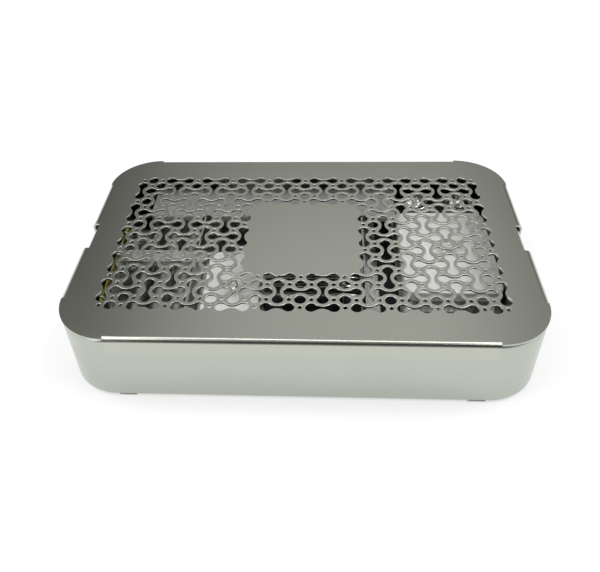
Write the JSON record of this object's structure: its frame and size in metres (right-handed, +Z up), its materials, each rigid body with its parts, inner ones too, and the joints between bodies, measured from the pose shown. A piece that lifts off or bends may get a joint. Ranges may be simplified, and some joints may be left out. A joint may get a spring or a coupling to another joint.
{
  "type": "sterilization container",
  "caption": "Flat rounded steel box with a lift-off perforated lid, holding a lift-out instrument tray with covered parts boxes, combs and a hinged retaining strap.",
  "frame": {"origin": "on the surface that the container stands on, under the middle of the lid", "axes": "+X along the long side, +Y towards the rear, +Z up"},
  "size_m": [0.24, 0.157, 0.042],
  "materials": {
    "base_steel": "satin, drawn and lightly brushed",
    "lid_steel": "fine satin, brushed along the lid",
    "insert_steel": "satin sheet",
    "instrument_steel": "knurled and matt",
    "polished_steel": "mirror polished",
    "gold_rod": "olive gold, hard coated",
    "black_silicone": "matt black silicone",
    "grey_silicone": "matt light grey silicone",
    "cover_steel": "bright, finely blasted sheet",
    "black_block": "turned and milled black plastic"
  },
  "bodies": {
    "base": {"base_tub": "base_steel", "floor_mat": "black_silicone", "foot_front_left": "base_steel", "foot_front_right": "base_steel", "foot_rear_left": "base_steel", "foot_rear_right": "base_steel"},
    "lid": {"lid_frame": "lid_steel", "lid_grille": "lid_steel"},
    "insert": {"insert_tray": "insert_steel", "divider_left": "insert_steel", "divider_right": "insert_steel", "rest_bracket_front": "insert_steel", "rest_bracket_rear": "insert_steel", "rest_comb_front": "grey_silicone", "rest_comb_rear": "grey_silicone", "hand_instrument_left": "instrument_steel", "hand_instrument_middle": "instrument_steel", "hand_instrument_right": "instrument_steel", "hinge_rod": "gold_rod", "rod_collar_front": "gold_rod", "rod_collar_rear": "gold_rod", "rod_lug": "insert_steel", "parts_box_left": "insert_steel", "parts_box_right": "insert_steel", "cup_holder": "black_block", "cup_left": "polished_steel", "cup_right": "polished_steel", "centre_rest_left": "black_silicone", "centre_rest_right": "black_silicone", "probe_1": "polished_steel", "probe_2": "polished_steel", "probe_3": "polished_steel", "rivets": "insert_steel"},
    "strap": {"retaining_strap": "insert_steel", "strap_pad": "grey_silicone"},
    "cover_left": {"box_cover_left": "cover_steel", "cover_knob_left": "polished_steel"},
    "cover_right": {"box_cover_right": "cover_steel", "cover_knob_right": "polished_steel"}
  },
  "joints": [
    {"name": "lid_lift", "type": "slide", "parent": "base", "child": "lid", "axis": [0, 0, 1], "range_m": [0, 0.12]},
    {"name": "insert_lift", "type": "slide", "parent": "base", "child": "insert", "axis": [0, 0, 1], "range_m": [0, 0.06]},
    {"name": "strap_swing", "type": "hinge", "parent": "insert", "child": "strap", "pos_m": [-0.105, 0, 0.03], "axis": [0, -1, 0], "range_deg": [0, 90]},
    {"name": "cover_left_lift", "type": "slide", "parent": "insert", "child": "cover_left", "axis": [0, 0, 1], "range_m": [0, 0.03]},
    {"name": "cover_right_lift", "type": "slide", "parent": "insert", "child": "cover_right", "axis": [0, 0, 1], "range_m": [0, 0.03]}
  ],
  "couplings": [
    {"joint": "insert_lift", "follows": "lid_lift", "ratio": 0.5},
    {"joint": "strap_swing", "follows": "lid_lift", "rad_per_m": 13.08},
    {"joint": "cover_left_lift", "follows": "lid_lift", "ratio": 0.25},
    {"joint": "cover_right_lift", "follows": "lid_lift", "ratio": 0.25}
  ]
}
